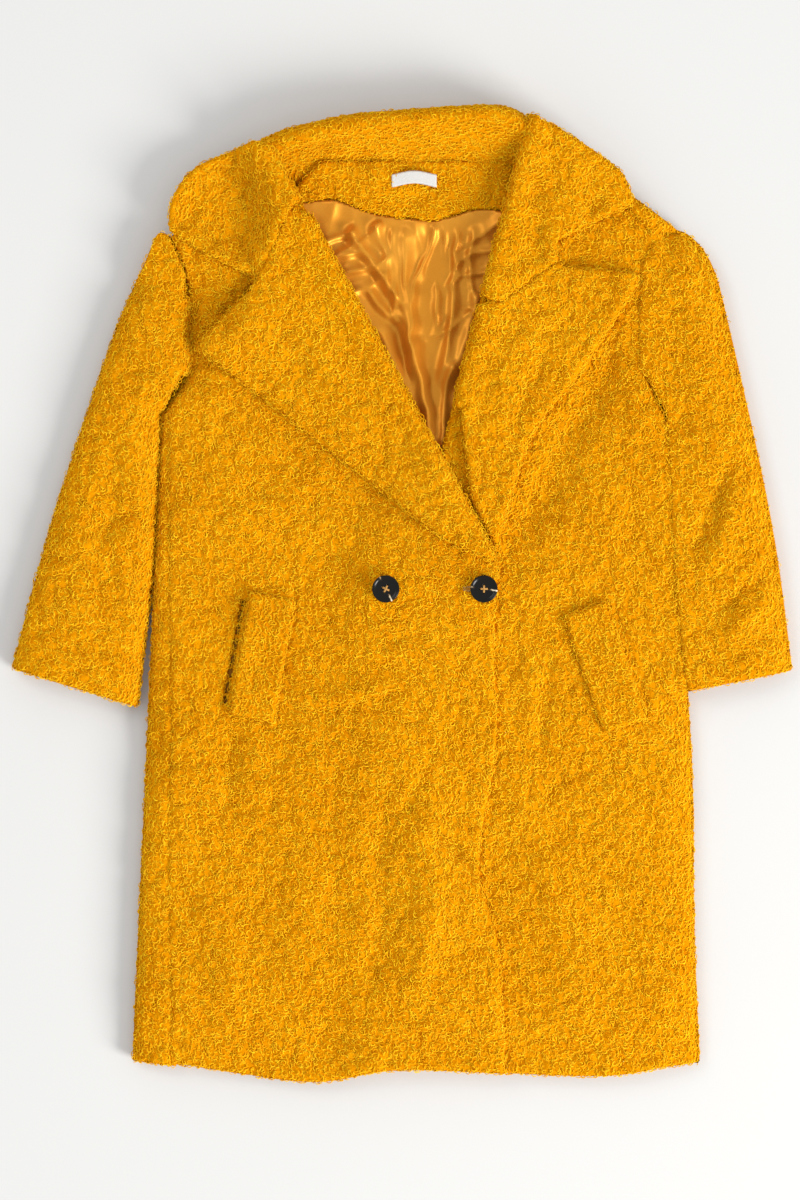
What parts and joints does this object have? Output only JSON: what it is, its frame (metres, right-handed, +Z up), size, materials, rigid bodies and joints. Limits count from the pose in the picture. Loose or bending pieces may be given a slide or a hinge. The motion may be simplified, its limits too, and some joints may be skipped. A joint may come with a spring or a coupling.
{
  "type": "coat",
  "caption": "Mid-length double-breasted boucle coat with notched lapels, slanted welt pockets and a lining, lying flat and buttoned.",
  "frame": {"origin": "middle of the coat's footprint, on the surface it lies on", "axes": "+X towards the wearer's left, +Y towards the collar, +Z up from the surface, out through the coat's front"},
  "size_m": [0.798, 1.0068, 0.047],
  "materials": {
    "boucle": "curly mustard-yellow boucle pile",
    "boucle_facing": "curly mustard-yellow boucle pile, worn inside",
    "lining": "smooth satin with a soft sheen",
    "button": "polished black with a pale streak",
    "thread": "twisted sewing thread",
    "label": "woven satin, left blank"
  },
  "bodies": {
    "coat_body": {"back_panel_right": "boucle", "back_panel_left": "boucle", "back_lining": "lining", "back_neck_facing": "boucle_facing", "neck_label": "label", "right_front_panel": "boucle", "right_front_facing": "boucle_facing", "right_front_lining": "lining", "left_front_panel": "boucle", "left_front_facing": "boucle_facing", "left_front_lining": "lining", "collar_stand": "boucle_facing", "collar_fall": "boucle", "right_pocket_welt": "boucle", "left_pocket_welt": "boucle", "right_pocket_bag": "lining", "left_pocket_bag": "lining", "right_pocket_bag_top": "lining", "left_pocket_bag_top": "lining", "inner_button": "button", "inner_button_thread": "thread"},
    "front_skirt": {"right_front_skirt": "boucle", "right_skirt_facing": "boucle_facing", "right_skirt_lining": "lining"},
    "right_revers": {"right_lapel": "boucle", "right_lapel_facing": "boucle", "right_under_collar": "boucle_facing", "right_top_collar": "boucle"},
    "left_revers": {"left_lapel": "boucle", "left_lapel_facing": "boucle", "left_under_collar": "boucle_facing", "left_top_collar": "boucle"},
    "right_sleeve": {"right_under_sleeve": "boucle", "right_top_sleeve": "boucle", "right_sleeve_lining": "lining"},
    "left_sleeve": {"left_under_sleeve": "boucle", "left_top_sleeve": "boucle", "left_sleeve_lining": "lining"},
    "button_front": {"front_button": "button", "front_button_thread": "thread"},
    "button_show": {"show_button": "button", "show_button_thread": "thread"}
  },
  "joints": [
    {"name": "front_fold", "type": "hinge", "parent": "coat_body", "child": "front_skirt", "pos_m": [0.099, -0.0554, 0.035], "axis": [-0.4974, -0.8675, 0], "range_deg": [0, 160]},
    {"name": "right_revers_turn", "type": "hinge", "parent": "coat_body", "child": "right_revers", "pos_m": [-0.1, 0.3956, 0.035], "axis": [-0.4767, 0.8791, 0], "range_deg": [0, 55]},
    {"name": "left_revers_turn", "type": "hinge", "parent": "coat_body", "child": "left_revers", "pos_m": [0.107, 0.3876, 0.0272], "axis": [-0.2544, -0.9671, 0], "range_deg": [0, 55]},
    {"name": "right_sleeve_swing", "type": "hinge", "parent": "coat_body", "child": "right_sleeve", "pos_m": [-0.2358, 0.3636, 0.014], "axis": [0, 0, -1], "range_deg": [0, 18]},
    {"name": "left_sleeve_swing", "type": "hinge", "parent": "coat_body", "child": "left_sleeve", "pos_m": [0.2658, 0.3636, 0.014], "axis": [0, 0, 1], "range_deg": [0, 18]},
    {"name": "front_button_swivel", "type": "hinge", "parent": "coat_body", "child": "button_front", "pos_m": [0.085, 0.0026, 0.038], "axis": [0, 0, 1], "range_deg": [-40, 40]},
    {"name": "show_button_swivel", "type": "hinge", "parent": "coat_body", "child": "button_show", "pos_m": [-0.015, 0.0026, 0.038], "axis": [0, 0, 1], "range_deg": [-40, 40]}
  ]
}
